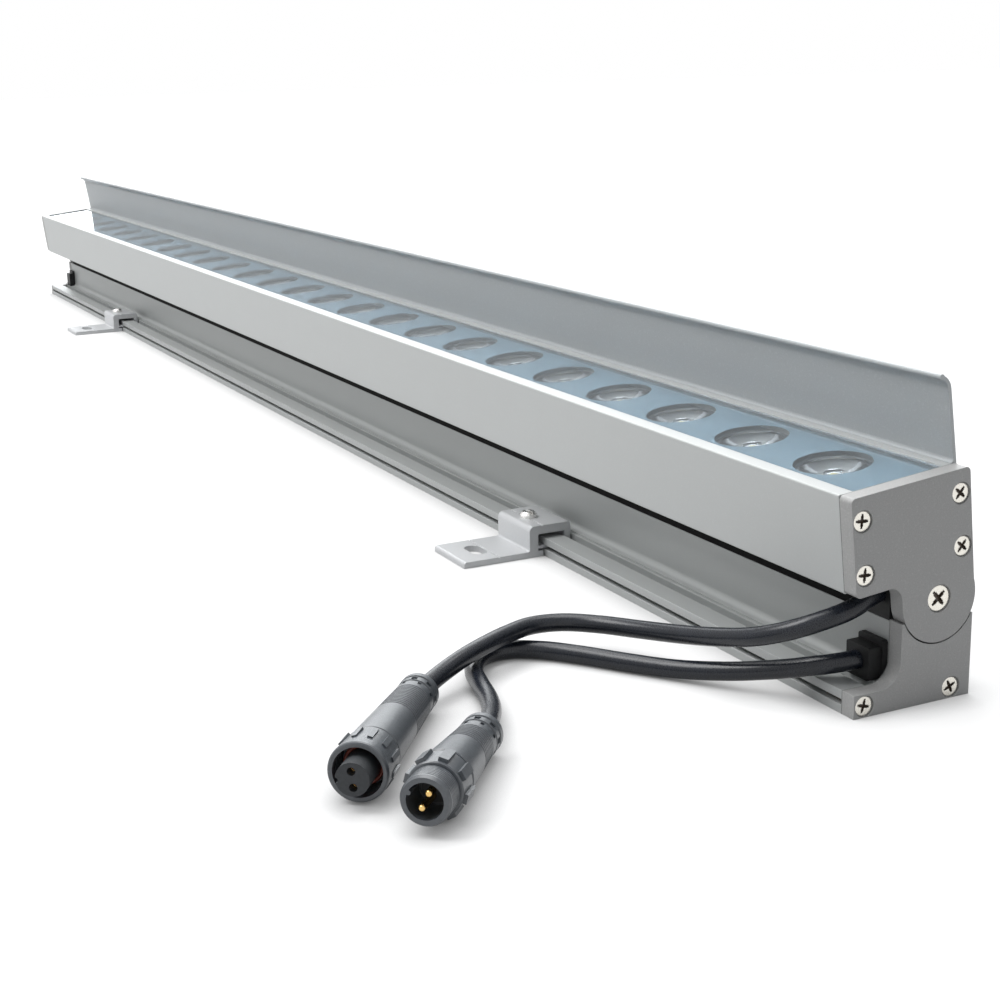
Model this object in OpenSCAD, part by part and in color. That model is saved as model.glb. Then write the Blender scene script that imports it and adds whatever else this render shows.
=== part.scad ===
// Outdoor wall washer bar: a lensed head that tilts along its length on an L-shaped base,
// two sliding fixing brackets and two plugged leads.
// Millimetres. X runs along the bar with the leads at +X, the front is -Y, Z is up.
// The origin is on the underside, at the middle of the base's width and length.
// Sections are drawn with y counted from the front edge of the foot, and place() centres them.

/* [Bar] */
// Length over the end caps
bar_l = 1000; // [980:5:1040]
// Thickness of an end cap
cap_t = 4.9; // [4.5:0.1:5.5]
// Thickness of the seal behind an end cap
seal_t = 0.4; // [0.3:0.1:0.6]
// Wall thickness of the two extrusions
wall_t = 1.8; // [1.6:0.1:2]

/* [Base] */
// Front to back width of the base
base_w = 38.8; // [38.5:0.1:39.5]
// Height of the foot
foot_h = 6.6; // [6.4:0.1:7]
// Front face of the column, from the foot's front edge
column_y = 15.3; // [15:0.1:15.6]
// Height of the column's front wall
column_h = 23.3; // [23:0.1:23.8]
// Width of the rail that the brackets hook over
rail_w = 7.4; // [7:0.1:7.6]
// Height of the slot in the foot's front edge
slot_h = 1.6; // [1.5:0.1:1.8]

/* [Head] */
// Width of the head
head_w = 38.7; // [38.5:0.1:39]
// Height of the head
head_h = 27.2; // [27:0.1:27.6]
// Forward lean of the head as it stands
lean = 5.8; // [4:0.1:8]
// Height of the pivot axis above the underside
pivot_z = 29.1; // [29:0.1:29.4]
// Radius of the round knuckle on the head's end caps
knuckle_r = 12.2; // [12:0.1:12.3]
// Thickness of the front glass
glass_t = 3.8; // [3.5:0.1:4]
// Distance from lens to lens, before it is evened out over the length
lens_pitch_wanted = 39; // [38:0.1:40]
// Height of the visor above the head's rim
visor_h = 24.3; // [20:0.1:26]

/* [Brackets] */
// Length of a bracket along the bar
bracket_l = 25; // [20:1:30]
// Place of the near bracket's middle along the bar
bracket_near_x = 313.5; // [200:0.5:340]
// Place of the far bracket's middle along the bar
bracket_far_x = -288.5; // [-340:0.5:-200]
// Reach of the bracket's foot in front of the base
bracket_reach = 31.3; // [30:0.1:34]
// Width of the fixing slot
bracket_slot_w = 5.8; // [5:0.1:6.4]
// End to end length of the fixing slot
bracket_slot_l = 11.5; // [10:0.5:14]

/* [Leads] */
// Outer diameter of a lead
lead_d = 5.4; // [5.2:0.1:5.6]

/* [Hidden] */
$fn = 48;

// Clearance round a screw in its thread, and of the knuckle on its screw
run_gap = 0.05;
// Overshoot of a cut past the face it opens
cut = 1;

half_l = bar_l / 2;
profile_x = half_l - cap_t - seal_t;
cap_x = half_l - cap_t;

// Base section
floor_t = 1.8;
slot_z = 2.5;
groove_z = 3.4;
groove_y = 11;
step_y = 12.4;
step_w = 0.5;
root_r = 2.5;
trough_r = 12.4;
port_r = 1.5;
boss_r = 2.9;
port_z = 3.1;
foot_port_y = 3.5;
rear_port_y = 32.5;

// End caps of the base
cradle_r = 12.6;
cap_column_y = 15.1;
cap_front_h = 23.8;
cap_rear_h = 23.4;
cap_fillet = 6.3;

// Head section, upright, before it leans
pivot_y = 27.2;
head_y = 0.4;
head_z = 36;
head_top = head_z + head_h;
head_back = head_y + head_w;
lens_y = head_y + head_w / 2;
web_z = 45.8;
web_t = 2.2;
rim_w = 4.45;
glass_drop = 0.5;
seat_w = 1.7;
seat_t = 1.6;
bead_t = 0.3;
glass_z = head_top - glass_drop - glass_t;
seat_z = glass_z - bead_t;
window_y0 = head_y + rim_w;
window_y1 = head_back - rim_w;
upper_port_z = 56.5;
lower_port_z = 41.7;
port_inset = 3.3;
knuckle_fillet = 4.2;

// Visor
visor_t = 1;
visor_slope = 0.8;
visor_bend_z = head_top + visor_h - 4.1;
visor_bend_r = 4.6;
visor_bend_a = 65;
visor_lip_r = 0.75;
tang_y0 = 37.3;
tang_y1 = 38.5;
tang_h = 2.8;
tang_gap = 0.05;

// Light engine: whole boards that fill the length between the caps
per_board = 5;
engine_end = 8.45;
engine_l = 2 * (profile_x - engine_end);
board_n = round(engine_l / (per_board * lens_pitch_wanted));
lens_n = board_n * per_board;
lens_pitch = engine_l / lens_n;
board_w = 23.6;
board_t = 1.6;
board_gap = 0.6;
board_z = web_z + web_t;
chip_z = board_z + board_t;
chip_w = 3.5;
chip_t = 0.7;
link_size = [6, 1.6, 1.2];
link_y = 4;
lens_r = 10.6;
lens_z = chip_z + 0.3;
lens_h = 7.7;
holder_z = chip_z + 6.4;
holder_t = 0.8;

// Countersunk screws of the caps, and the two pivot screws
screw_sink = 0.45;
sink_gap = 0.3;
sink_ring = 0.25;
screw_head_r = 2.75;
screw_r = 1.45;
screw_cone = 1.5;
screw_l = 14;
pivot_head_r = 3.6;
pivot_r = 2;
pivot_cone = 2;
pivot_l = 18;

// Pivot blocks in the trough
block_l = 14;
block_r = 6.5;
block_gap = 0.05;
ear_y = 10.8;
ear_drop = 4;
ear_screw_y = 8.4;
ear_screw_r = 1.25;
ear_screw_l = 9;
ear_head = [1.75, 1.6];
ear_screw_xs = [3.5, 10.5];
ear_tip_z = pivot_z - ear_drop - ear_screw_l;

// Strain reliefs, counted from the bar's end
relief_s = 11.4;
relief_z = 11.6;
relief_h = 9.3;
relief_box_w = 9.6;
relief_flange_l = 10.6;
relief_flange_h = 11;
relief_tail_r = 3.1;
relief_tip_y = 9.7;
upper_relief_s = 9.9;
upper_relief_w = 8.6;
upper_relief_top = 33.2;
seal_strip_t = 0.8;
seal_strip_top = 32.4;
seal_strip_gap = 0.3;
upper_tail_y = 18.5;
upper_tail_r = 1.8;
upper_tail_z = 16;

// Inside the column
splice_s = 52;
splice_size = [24, 11.8, 9];
splice_y = 23.5;
pole_y = 2.8;
pole_x = 6;
core_z = 4.6;
core_r = 1.1;
core_back_y = 19.4;
core_bore = 5;
feed_r = 2;
feed_low_z = 8.4;
feed_slot = 1;
feed_head_run = 19.2;
feed_base_run = 19.8;
feed_cut = 0.1;
feed_bend = 5;

// Bracket section
bracket_t = 2.2;
bracket_wall_y = -5.8;
bracket_wall_t = 3.4;
bracket_top_z = 8.2;
bracket_h = 11.3;
bracket_lip_y = 8;
bracket_lip_t = 2.4;
bracket_lip_z = 4.4;
bracket_back_y = bracket_lip_y + bracket_lip_t;
bracket_heel_y = -0.45;
bracket_hook_y = 2.2;
bracket_hook_z = 2.95;
bracket_hook_t = 1.1;
bracket_round = 2;
bracket_slot_y = -21;
score_w = 0.5;
score_d = 0.3;
foot_score_y = -17.9;
top_score_y = -1;
clamp_y = 0.2;
clamp_r = 1.5;
clamp_head_r = 3;
clamp_head_h = 2.2;
clamp_gap = 0.05;

// Leads: route points as distance from the bar's near end, y from the foot's front edge, height
upper_route = [
  [9.9, 15.3, 30.3], [9.9, 11.8, 29.3], [9.9, 8.2, 27.6], [9.9, 4.6, 26.5], [10.1, 0.8, 25.7], [11, -3, 24.7],
  [13.2, -7, 23.2], [18, -11.2, 20.8], [26, -14.8, 17.8], [38, -17.6, 14.6], [52, -20.8, 11.7], [66, -25.6, 9.7],
  [78, -32.2, 8.8], [85.2, -40.8, 8.8], [86.6, -50.6, 9], [83.2, -60.2, 9], [78.4, -69.2, 9], [73.4, -78.4, 8.5],
  [68.4, -87.8, 7], [62.2, -96.9, 5.7]
];
lower_route = [
  [11.4, 9.7, 11.6], [11.9, 4.8, 11.5], [13.3, 1.4, 11.1], [15.8, -1.7, 10.4], [20.4, -5.3, 8.9],
  [27, -9.8, 7], [36, -16, 4.9], [48, -24.4, 3.2], [60, -32.8, 2.8], [72, -41.2, 2.8], [81.2, -49, 2.8],
  [86.8, -58, 2.8], [85.2, -67.4, 2.8], [76.6, -74, 2.8], [65.8, -77.2, 2.8], [55, -80, 3.1], [45, -83.8, 4],
  [36, -88.8, 5.1], [28.4, -94.2, 5.7]
];
lead_sides = 12;
lead_steps = 2;
// Each plug: the rear end of its gland as in the routes, its turn on the floor and its tilt
socket_at = [62.2, -96.9, 5.7];
socket_turn = -37.8;
socket_tilt = 2.6;
pin_at = [28.4, -94.2, 5.7];
pin_turn = -41.2;
pin_tilt = 3.9;

// Plugs, along their own axis from the lead's end
gland_r = 5.55;
gland_l = 10.4;
gland_groove = 0.5;
plug_r0 = 5.6;
plug_r1 = 7;
rib_pitch = 1.2;
rib_d = 0.22;
socket_rib_n = 14;
socket_body_l = 47.1;
nut_l = 12.7;
nut_r0 = 7.1;
nut_r1 = 7.65;
nut_bore_r = 6.3;
nut_rib_n = 12;
nut_rib = [5.8, 1.3, 0.5];
nut_lip_t = 2;
neck_l = 4;
neck_r = 5.2;
neck_gap = 0.08;
insert_l = 13.2;
insert_r = 4.2;
seal_r = 0.5;
seal_in = 5.5;
contact_r = 0.95;
contact_off = 2;
pin_rib_n = 8;
pin_body_l = 33.4;
collar_l = 9;
collar_r = 6.95;
collar_groove = [0.5, 0.7];
lug_n = 8;
lug = [6.2, 2.4, 0.9];
barrel_l = 7;
barrel_r = 6.2;
barrel_edge = [0.5, 0.9];
thread_pitch = 0.8;
socket_r = 4.5;
pin_depth = 10;
key_r = 0.7;

// Helpers

// Place of lens i of board b, and of the gap after it
function lens_x(b, i) = (b * per_board + i - (lens_n - 1) / 2) * lens_pitch;
function slot_x(b, i) = lens_x(b, i) + lens_pitch / 2;
board_screw_slots = [0, 3];
leg_slots = [0, 3];

// The feed comes up between two lenses of the last board
feed_out_x = slot_x(board_n - 1, feed_slot);
feed_x = feed_out_x + feed_head_run + feed_base_run;

module place() translate([0, -base_w / 2, 0]) children();

module leaning() {
  translate([0, pivot_y, pivot_z])
    rotate([lean, 0, 0])
      translate([0, -pivot_y, -pivot_z]) children();
}

module far_end() mirror([1, 0, 0]) children();

// Extrudes a (y, z) section along X
module along_x(x0, x1) {
  translate([x0, 0, 0]) rotate([90, 0, 90]) linear_extrude(x1 - x0) children();
}

// Cylinder or cone along X
module rod_x(x0, x1, y, z, r1, r2 = undef) {
  translate([x0, y, z]) rotate([0, 90, 0]) cylinder(h = x1 - x0, r1 = r1, r2 = is_undef(r2) ? r1 : r2);
}

module rounded_rect(y0, z0, y1, z1, r) {
  translate([y0 + r, z0]) square([y1 - y0 - 2 * r, z1 - z0]);
  translate([y0, z0 + r]) square([y1 - y0, z1 - z0 - 2 * r]);
  for (y = [y0 + r, y1 - r], z = [z0 + r, z1 - r]) translate([y, z]) circle(r);
}

// Concave quarter round that fills the corner left of and above the point
module root_fillet(y, z, r) {
  translate([y, z]) difference() {
    translate([-r, 0]) square(r);
    translate([-r, r]) circle(r);
  }
}

// Countersunk screw along X with its head's face at x, pointing to -X
module csk_screw(x, y, z, head_r, shank_r, cone, l, turn) {
  difference() {
    union() {
      rod_x(x - cone, x, y, z, shank_r, head_r);
      rod_x(x - l, x - cone, y, z, shank_r);
    }
    for (a = [turn, turn + 90]) translate([x, y, z]) rotate([a, 0, 0]) {
      cube([2.4, head_r * 0.34, head_r * 1.05], center = true);
      cube([1.6, head_r * 0.22, head_r * 1.45], center = true);
    }
  }
}

// Hole for that screw through a cap whose face is at x, with a shallow counterbore above the cone
module csk_hole(x, y, z, head_r, shank_r, cone) {
  rod_x(x - cap_t - seal_t - cut, x + cut, y, z, shank_r + run_gap);
  rod_x(x - screw_sink - cone, x - screw_sink, y, z, shank_r + run_gap, head_r + run_gap);
  rod_x(x - screw_sink - sink_ring, x + cut, y, z, head_r + sink_gap);
}

// Swept tube: a smooth line through the route, with a ring of points at each step
function smooth(a, b, c, d, t) = 0.5 * (2 * b + (c - a) * t + (2 * a - 5 * b + 4 * c - d) * t * t
  + (3 * b - a - 3 * c + d) * t * t * t);
function before(p, i) = i > 0 ? p[i - 1] : 2 * p[0] - p[1];
function after(p, i) = i < len(p) ? p[i] : 2 * p[len(p) - 1] - p[len(p) - 2];
function line_of(p, n) = [
  for (i = [0:len(p) - 2], k = [0:n - 1]) smooth(before(p, i), p[i], p[i + 1], after(p, i + 2), k / n),
  p[len(p) - 1]
];
function unit(v) = v / norm(v);
function heading(p, i) =
  i == 0 ? unit(p[1] - p[0]) : i == len(p) - 1 ? unit(p[i] - p[i - 1]) : unit(p[i + 1] - p[i - 1]);
function ring(c, dir, r, n) =
  let (side = unit(cross(dir, [0, 0, 1])), up = cross(side, dir))
  [for (k = [0:n - 1]) c + r * (side * cos(360 * k / n) + up * sin(360 * k / n))];
function end_heading(p, i, first, last) = i == 0 ? first : i == len(p) - 1 ? last : heading(p, i);

module tube(line, r, n, first, last) {
  m = len(line);
  points = [for (i = [0:m - 1]) each ring(line[i], end_heading(line, i, first, last), r, n)];
  walls = [for (i = [0:m - 2], k = [0:n - 1])
    let (a = i * n + k, b = i * n + (k + 1) % n) each [[a, a + n, b + n], [a, b + n, b]]];
  start = [for (k = [0:n - 1]) k];
  end = [for (k = [n - 1:-1:0]) (m - 1) * n + k];
  polyhedron(points, concat(walls, [start, end]), convexity = 10);
}

function in_frame(p) = [half_l - p[0], p[1], p[2]];

// Puts a plug at the end of its lead, with its own axis along z
module plug_at(at, turn, tilt) {
  translate([half_l - at[0], at[1], at[2]]) rotate([0, 0, turn]) rotate([0, 90 - tilt, 0]) children();
}

// Base

module base_section() {
  difference() {
    union() {
      square([column_y + cut, foot_h]);
      translate([column_y, 0]) square([base_w - column_y, column_h]);
      root_fillet(column_y, foot_h, root_r);
    }
    translate([-cut, slot_z]) square([foot_port_y + cut, slot_h]);
    translate([rail_w, groove_z]) square([groove_y - rail_w, foot_h]);
    translate([step_y, foot_h - step_w]) square([step_w, foot_h]);
    translate([pivot_y, pivot_z]) circle(trough_r);
    difference() {
      translate([column_y + wall_t, floor_t]) square([base_w - column_y - 2 * wall_t, column_h]);
      translate([pivot_y, pivot_z]) circle(trough_r + wall_t);
      translate([rear_port_y, port_z]) circle(boss_r);
    }
    for (y = [foot_port_y, rear_port_y]) translate([y, port_z]) circle(port_r);
  }
}

module relief_cuts() {
  translate([half_l - relief_s, column_y - cut, relief_z])
    rotate([-90, 0, 0]) cylinder(h = wall_t + 2 * cut, r = relief_tail_r + run_gap);
  translate([profile_x - relief_flange_l - 0.7, column_y - root_r - cut, foot_h])
    cube([relief_flange_l + 0.7 + cut, root_r + cut, root_r + cut]);
  translate([half_l - upper_relief_s, upper_tail_y, upper_tail_z - cut])
    cylinder(h = column_h - upper_tail_z + 2 * cut, r = upper_tail_r + run_gap);
}

module base_profile() color("#9fa3a2") place() difference() {
  along_x(-profile_x, profile_x) base_section();
  relief_cuts();
  far_end() relief_cuts();
  for (side = [0, 1]) mirror([side, 0, 0]) for (x = ear_screw_xs)
    translate([profile_x - x, pivot_y + ear_screw_y, ear_tip_z - cut])
      cylinder(h = ear_screw_l + 2 * cut, r = ear_screw_r + run_gap);
  translate([feed_x, pivot_y, pivot_z - trough_r - wall_t - cut])
    cylinder(h = wall_t + 2 * cut, r = feed_r + run_gap);
}

module base_cap_section() {
  difference() {
    union() {
      square([cap_column_y + cut, foot_h]);
      translate([cap_column_y, 0]) square([pivot_y - cap_column_y, cap_front_h]);
      translate([pivot_y, 0]) square([base_w - pivot_y, cap_rear_h]);
      root_fillet(cap_column_y, foot_h, cap_fillet);
    }
    translate([pivot_y, pivot_z]) circle(cradle_r);
  }
}

module base_cap() color("#747472") place() difference() {
  along_x(cap_x, half_l) base_cap_section();
  for (y = [foot_port_y, rear_port_y])
    csk_hole(half_l, y, port_z, screw_head_r, screw_r, screw_cone);
}
module base_cap_near() base_cap();
module base_cap_far() far_end() base_cap();

module base_gasket() color("#2c2e30") place() difference() {
  along_x(profile_x, cap_x) base_cap_section();
  for (y = [foot_port_y, rear_port_y]) rod_x(profile_x - cut, cap_x + cut, y, port_z, screw_r + run_gap);
}
module base_gasket_near() base_gasket();
module base_gasket_far() far_end() base_gasket();

module base_cap_screws() color("#d8d3c8") place()
  for (side = [0, 1], y = [foot_port_y, rear_port_y])
    mirror([side, 0, 0])
      csk_screw(half_l - screw_sink, y, port_z, screw_head_r, screw_r, screw_cone, screw_l, y < column_y ? -15 : 25);

// Pivot

module pivot_block_section() {
  translate([pivot_y, pivot_z]) {
    circle(block_r);
    intersection() {
      circle(trough_r - block_gap);
      union() {
        translate([-block_r, -trough_r]) square([2 * block_r, trough_r]);
        translate([0, -trough_r]) square([ear_y, trough_r - ear_drop]);
      }
    }
  }
}

module pivot_block() color("#8a8d8f") place() difference() {
  along_x(profile_x - block_l, profile_x) pivot_block_section();
  rod_x(profile_x - block_l - cut, profile_x + cut, pivot_y, pivot_z, pivot_r + run_gap);
  for (x = ear_screw_xs) translate([profile_x - x, pivot_y + ear_screw_y, ear_tip_z])
    cylinder(h = ear_screw_l + cut, r = ear_screw_r + run_gap);
}
module pivot_block_near() pivot_block();
module pivot_block_far() far_end() pivot_block();

module pivot_block_screws() color("#c9c9c4") place()
  for (side = [0, 1], x = ear_screw_xs) mirror([side, 0, 0])
    translate([profile_x - x, pivot_y + ear_screw_y, ear_tip_z]) {
      translate([0, 0, ear_screw_l]) difference() {
        cylinder(h = ear_head[1], r = ear_head[0]);
        translate([0, 0, ear_head[1]]) cube([2.6, 0.5, 1.4], center = true);
      }
      cylinder(h = ear_screw_l, r = ear_screw_r);
    }

module pivot_screw() color("#d8d3c8") place()
  csk_screw(half_l - screw_sink, pivot_y, pivot_z, pivot_head_r, pivot_r, pivot_cone, pivot_l, 42);
module pivot_screw_near() pivot_screw();
module pivot_screw_far() far_end() pivot_screw();

module friction_washers() color("#3a3c3e") place()
  for (side = [0, 1]) mirror([side, 0, 0]) difference() {
    rod_x(profile_x, cap_x - run_gap, pivot_y, pivot_z, block_r - 0.3);
    rod_x(profile_x - cut, cap_x + cut, pivot_y, pivot_z, pivot_r + 0.2);
  }

// Strain reliefs and plugs

// Plate that stands upright in front of y = 0, w long, h high and t thick, its front corners rounded
module upright_pad(w, h, t, r) {
  translate([r, 0, r]) rotate([90, 0, 0]) linear_extrude(t) union() {
    translate([0, -r]) square([w - 2 * r, h]);
    translate([-r, 0]) square([w, h - 2 * r]);
    for (x = [0, w - 2 * r], z = [0, h - 2 * r]) translate([x, z]) circle(r);
  }
}

module lower_relief(tip) {
  x = half_l - relief_s;
  translate([profile_x - relief_flange_l - 0.4, column_y, foot_h + 0.2])
    upright_pad(relief_flange_l, relief_flange_h, 1.6, 1);
  translate([x - relief_box_w / 2, column_y - 0.5, foot_h + 0.1])
    upright_pad(relief_box_w, relief_h, column_y - 0.5 - tip, 0.6);
  translate([x, column_y - 0.5, relief_z])
    rotate([-90, 0, 0]) cylinder(h = wall_t + 1.5, r = relief_tail_r);
}

module lower_grommet() color("#1d2023") place() lower_relief(relief_tip_y);
module lower_plug_far() color("#1d2023") place() far_end() lower_relief(column_y - 4);

module upper_relief() {
  x = half_l - upper_relief_s;
  y1 = pivot_y - block_r - 0.1;
  translate([x - upper_relief_w / 2, column_y, column_h + 0.1])
    cube([upper_relief_w, y1 - column_y, upper_relief_top - column_h - 0.1]);
  translate([x, upper_tail_y, upper_tail_z]) cylinder(h = column_h + 1 - upper_tail_z, r = upper_tail_r);
}
// Lip that closes the gap under the head: it stands on the column's front edge between the upper reliefs
module trough_seal() color("#1d2023") place() {
  x1 = half_l - upper_relief_s - upper_relief_w / 2 - seal_strip_gap;
  translate([-x1, column_y + 0.1, column_h]) cube([2 * x1, seal_strip_t, seal_strip_top - column_h]);
}

module upper_grommet() color("#1d2023") place() upper_relief();
module upper_plug_far() color("#1d2023") place() far_end() upper_relief();

// Inside the column

module each_pole() for (x = [-pole_x, pole_x], y = [-pole_y, pole_y])
  translate([half_l - splice_s + x, splice_y + y, floor_t + splice_size[2] - 4]) children();

module splice_block() color("#cfcfc8") place() difference() {
  x1 = half_l - splice_s + splice_size[0] / 2;
  translate([x1 - splice_size[0], splice_y - splice_size[1] / 2, floor_t]) cube(splice_size);
  each_pole() cylinder(h = 5, r = 1.5 + run_gap);
  for (y = [-pole_y, pole_y]) rod_x(x1 - core_bore, x1 + cut, splice_y + y, core_z, core_r + run_gap);
}

module splice_screws() color("#c8b070") place() each_pole() difference() {
  cylinder(h = 3, r = 1.5);
  translate([0, 0, 3]) cube([2.2, 0.5, 1.4], center = true);
}

// One conductor of each lead: down behind its strain relief, then along to the terminal
module supply_cores() color("#7c3b30") place() {
  x0 = half_l - splice_s + splice_size[0] / 2 - core_bore + 0.3;
  xa = half_l - relief_s;
  xb = half_l - upper_relief_s;
  ya = splice_y - pole_y;
  yb = splice_y + pole_y;
  tail_y = column_y + wall_t + 1;
  rod_x(x0, xa, ya, core_z, core_r);
  translate([xa, ya, core_z]) sphere(core_r);
  translate([xa, core_back_y, core_z]) rotate([-90, 0, 0]) cylinder(h = ya - core_back_y, r = core_r);
  translate([xa, core_back_y, core_z]) sphere(core_r);
  translate([xa, core_back_y, core_z]) cylinder(h = relief_z - core_z, r = core_r);
  translate([xa, core_back_y, relief_z]) sphere(core_r);
  translate([xa, tail_y, relief_z]) rotate([-90, 0, 0]) cylinder(h = core_back_y - tail_y, r = core_r);
  rod_x(x0, xb, yb, core_z, core_r);
  translate([xb, yb, core_z]) sphere(core_r);
  translate([xb, core_back_y, core_z]) rotate([-90, 0, 0]) cylinder(h = yb - core_back_y, r = core_r);
  translate([xb, core_back_y, core_z]) sphere(core_r);
  translate([xb, core_back_y, core_z]) cylinder(h = upper_tail_z - core_z, r = core_r);
}

// Quarter bend of the feed in the XZ plane, round the point where it is put
module feed_quarter(turn) {
  rotate([90, 0, 0]) rotate([0, 0, turn]) rotate_extrude(angle = 90) translate([feed_bend, 0]) circle(feed_r);
}

// The feed's base half leaves the terminal, rises out of the column and turns along the hinge axis
module feed_lead_base() color("#202326") place() translate([feed_x, pivot_y, pivot_z]) {
  low = feed_low_z - pivot_z;
  rod_x(feed_bend, half_l - splice_s - splice_size[0] / 2 - feed_x, 0, low, feed_r);
  translate([feed_bend, 0, low + feed_bend]) feed_quarter(180);
  translate([0, 0, low + feed_bend]) cylinder(h = -low - 2 * feed_bend, r = feed_r);
  translate([-feed_bend, 0, -feed_bend]) feed_quarter(0);
  rod_x(feed_cut - feed_base_run, -feed_bend, 0, 0, feed_r);
}

// The head's half goes on along the axis and turns up to the boards
module feed_lead_head() color("#202326") place() leaning()
  translate([feed_out_x, pivot_y, pivot_z]) {
    rod_x(feed_bend, feed_head_run - feed_cut, 0, 0, feed_r);
    translate([feed_bend, 0, feed_bend]) feed_quarter(180);
    translate([0, 0, feed_bend]) cylinder(h = chip_z + 1 - pivot_z - feed_bend, r = feed_r);
  }

// Head

module head_ports(r) {
  for (y = [head_y + port_inset, head_back - port_inset], z = [lower_port_z, upper_port_z])
    translate([y, z]) circle(r);
}

module head_section() {
  difference() {
    rounded_rect(head_y, head_z, head_back, head_top, 0.5);
    difference() {
      union() {
        translate([head_y + wall_t, head_z + wall_t])
          square([head_w - 2 * wall_t, web_z - head_z - wall_t]);
        translate([head_y + wall_t, web_z + web_t])
          square([head_w - 2 * wall_t, seat_z - seat_t - web_z - web_t]);
      }
      head_ports(boss_r);
    }
    translate([window_y0 + seat_w, web_z + web_t])
      square([window_y1 - window_y0 - 2 * seat_w, head_top]);
    translate([window_y0, seat_z]) square([window_y1 - window_y0, head_top]);
    translate([tang_y0 - tang_gap, head_top - tang_h])
      square([tang_y1 - tang_y0 + 2 * tang_gap, tang_h + cut]);
    head_ports(port_r);
  }
}

module head_profile() color("#b9bdbb") place() leaning() difference() {
  along_x(-profile_x, profile_x) head_section();
  translate([feed_out_x, pivot_y, head_z - cut])
    cylinder(h = board_z - head_z + 2 * cut, r = feed_r + run_gap);
  for (b = [0:board_n - 1], i = board_screw_slots)
    translate([slot_x(b, i), lens_y, web_z - cut]) cylinder(h = web_t + 2 * cut, r = screw_r + run_gap);
}

module head_cap_section() {
  rounded_rect(head_y, head_z, head_back, head_top, 1.4);
  translate([pivot_y - knuckle_r, pivot_z])
    square([head_back - pivot_y + knuckle_r, head_z - pivot_z + 3]);
  translate([pivot_y, pivot_z]) circle(knuckle_r);
  translate([pivot_y - knuckle_r, head_z]) difference() {
    translate([-knuckle_fillet, -knuckle_fillet]) square([knuckle_fillet + cut, knuckle_fillet + cut]);
    translate([-knuckle_fillet, -knuckle_fillet]) circle(knuckle_fillet);
  }
}

module head_cap() color("#747472") place() leaning() difference() {
  along_x(cap_x, half_l) head_cap_section();
  for (y = [head_y + port_inset, head_back - port_inset], z = [lower_port_z, upper_port_z])
    csk_hole(half_l, y, z, screw_head_r, screw_r, screw_cone);
  csk_hole(half_l, pivot_y, pivot_z, pivot_head_r, pivot_r, pivot_cone);
}
module head_cap_near() head_cap();
module head_cap_far() far_end() head_cap();

module head_gasket() color("#2c2e30") place() leaning() along_x(profile_x, cap_x) difference() {
  rounded_rect(head_y, head_z, head_back, head_top, 1.4);
  head_ports(screw_r + run_gap);
}
module head_gasket_near() head_gasket();
module head_gasket_far() far_end() head_gasket();

module head_cap_screws() color("#d8d3c8") place() leaning()
  for (side = [0, 1], y = [head_y + port_inset, head_back - port_inset], z = [lower_port_z, upper_port_z])
    mirror([side, 0, 0])
      csk_screw(half_l - screw_sink, y, z, screw_head_r, screw_r, screw_cone, screw_l, y < lens_y ? -10 : 45);

module front_glass() color("#9fb4c2", 0.5) place() leaning()
  translate([-profile_x + 0.2, window_y0 + 0.15, glass_z])
    cube([2 * profile_x - 0.4, window_y1 - window_y0 - 0.3, glass_t]);

module glass_gasket() color("#2c2e30") place() leaning()
  translate([-profile_x + 0.2, window_y0 + 0.15, seat_z]) difference() {
    cube([2 * profile_x - 0.4, window_y1 - window_y0 - 0.3, bead_t]);
    translate([seat_w, seat_w - 0.15, -cut])
      cube([2 * profile_x - 0.4 - 2 * seat_w, window_y1 - window_y0 - 2 * seat_w, bead_t + 2 * cut]);
  }

// Visor: an upright sheet with a quarter bead at its foot and a lip bent forward at its top
module visor_section() {
  foot = head_back - 0.1;
  bend = foot - visor_slope;
  steps = 8;
  arc = [for (i = [0:steps]) visor_bend_a * i / steps];
  centre = [bend - visor_bend_r, visor_bend_z];
  outer = [for (a = arc) centre + visor_bend_r * [cos(a), sin(a)]];
  inner = [for (i = [steps:-1:0]) centre + (visor_bend_r - visor_t) * [cos(arc[i]), sin(arc[i])]];
  polygon(concat([[foot - visor_t, head_top], [foot, head_top]], outer, inner));
  translate(centre + (visor_bend_r - visor_t / 2) * [cos(visor_bend_a), sin(visor_bend_a)])
    circle(visor_lip_r);
  difference() {
    translate([foot - visor_t - 1, head_top]) square([1.2, 1]);
    translate([foot - visor_t - 1, head_top + 1]) circle(0.9);
  }
  translate([tang_y0, head_top - tang_h]) square([tang_y1 - tang_y0, tang_h + 0.2]);
}

module visor() color("#a4a9ab") place() leaning() along_x(-profile_x, profile_x) visor_section();

// Light engine
module each_lens()
  for (b = [0:board_n - 1], i = [0:per_board - 1])
    translate([lens_x(b, i), lens_y, 0]) children();

module led_boards() color("#e4e6e2") place() leaning() for (b = [0:board_n - 1]) difference() {
  l = per_board * lens_pitch - board_gap;
  translate([lens_x(b, (per_board - 1) / 2) - l / 2, lens_y - board_w / 2, board_z])
    cube([l, board_w, board_t]);
  for (i = board_screw_slots)
    translate([slot_x(b, i), lens_y, board_z - cut]) cylinder(h = board_t + 2 * cut, r = screw_r + 0.2);
  if (b == board_n - 1)
    translate([feed_out_x, pivot_y, board_z - cut])
      cylinder(h = board_t + 2 * cut, r = feed_r + run_gap);
}

module board_links() color("#b33a2e") place() leaning()
  for (b = [0:board_n - 2], y = [-link_y, link_y])
    translate([slot_x(b, per_board - 1), lens_y + y, chip_z + link_size[2] / 2])
      cube(link_size, center = true);

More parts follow.
